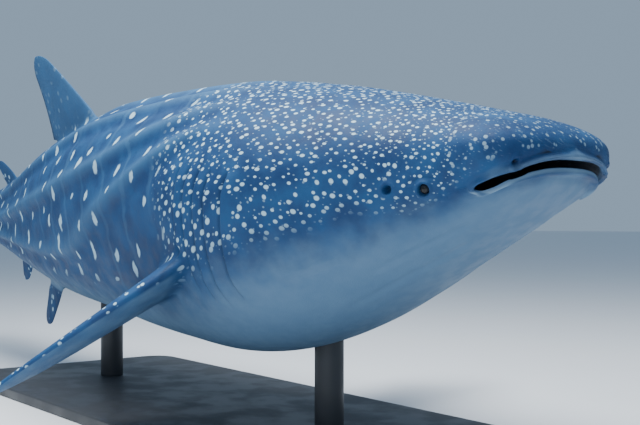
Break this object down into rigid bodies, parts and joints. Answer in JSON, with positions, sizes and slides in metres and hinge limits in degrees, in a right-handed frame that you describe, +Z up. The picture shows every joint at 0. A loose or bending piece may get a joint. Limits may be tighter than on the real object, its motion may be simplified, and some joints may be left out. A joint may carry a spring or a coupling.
{
  "type": "whale shark model",
  "caption": "Life-size still model of a swimming whale shark with open gill slits, ridged back and spotted skin, held on a flat base by rods",
  "frame": {"origin": "on the floor, under the middle of the whole model's box", "axes": "+X toward the snout, +Y to the animal's left, +Z up"},
  "size_m": [7.5436, 2.9864, 2.5622],
  "materials": {
    "skin": "tough matt skin, slate blue above with pale spots and bars, pale below",
    "eye": "dark moist eye",
    "stand": "satin dark grey paint"
  },
  "bodies": {
    "root": {"head": "skin", "lower_jaw": "skin", "gill_region": "skin", "trunk_front": "skin", "trunk_rear": "skin", "tail_stock": "skin", "tail_fin": "skin", "first_dorsal_fin": "skin", "second_dorsal_fin": "skin", "anal_fin": "skin", "pectoral_fin_left": "skin", "pectoral_fin_right": "skin", "pelvic_fin_left": "skin", "pelvic_fin_right": "skin", "eye_left": "eye", "eye_right": "eye", "stand_base": "stand", "stand_rod_front": "stand", "stand_rod_rear": "stand"}
  },
  "joints": []
}
